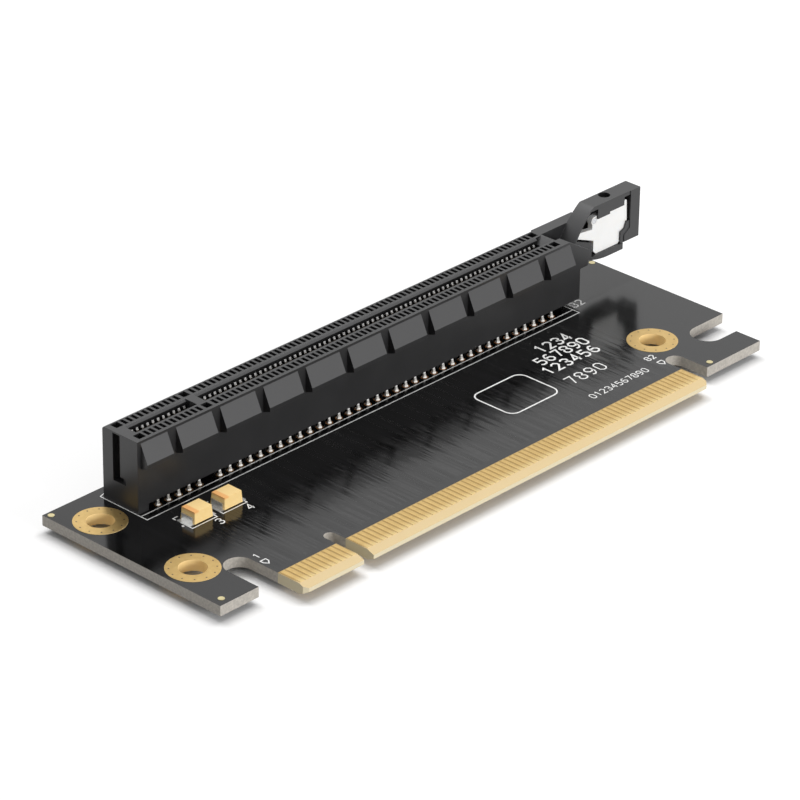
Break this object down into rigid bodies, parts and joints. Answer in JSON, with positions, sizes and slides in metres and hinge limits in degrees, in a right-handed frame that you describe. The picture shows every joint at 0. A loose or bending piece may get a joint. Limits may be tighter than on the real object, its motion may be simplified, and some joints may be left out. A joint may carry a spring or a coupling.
{
  "type": "pcie riser card",
  "caption": "Flat riser card with a bevelled card edge, a long card slot with a latch tower and lever, gold fingers, plated mounting holes and moulded capacitors.",
  "frame": {"origin": "centre line of the key slot, at the tip of the card edge, in the middle of the board's thickness", "axes": "+X along the contacts towards the latch tower, +Y from the card edge to the back edge, +Z out of the component side"},
  "size_m": [0.1173, 0.0396, 0.0165],
  "materials": {
    "board": "glossy solder mask",
    "gold": "gold plating",
    "slot_plastic": "satin moulding",
    "contact_metal": "plated strip",
    "lever_plastic": "satin moulding",
    "pin_metal": "drawn wire",
    "capacitor_resin": "moulded resin",
    "terminal_metal": "tinned strip"
  },
  "bodies": {
    "card": {"circuit_board": "board", "edge_fingers_top_short": "gold", "edge_fingers_top_long": "gold", "edge_fingers_bottom_short": "gold", "edge_fingers_bottom_long": "gold", "plated_holes": "gold", "alignment_marks": "gold", "slot_housing": "slot_plastic", "contacts_front_outer": "contact_metal", "contacts_front_inner": "contact_metal", "contacts_rear_outer": "contact_metal", "contacts_rear_inner": "contact_metal", "latch_pin": "pin_metal", "capacitor_1_body": "capacitor_resin", "capacitor_1_left_terminal": "terminal_metal", "capacitor_1_right_terminal": "terminal_metal", "capacitor_2_body": "capacitor_resin", "capacitor_2_left_terminal": "terminal_metal", "capacitor_2_right_terminal": "terminal_metal", "solder_lands": "terminal_metal"},
    "lever": {"latch_lever": "lever_plastic"}
  },
  "joints": [
    {"name": "latch_rock", "type": "hinge", "parent": "card", "child": "lever", "pos_m": [0.08337, 0.03375, 0.01205], "axis": [0, -1, 0], "range_deg": [0, 3]}
  ]
}
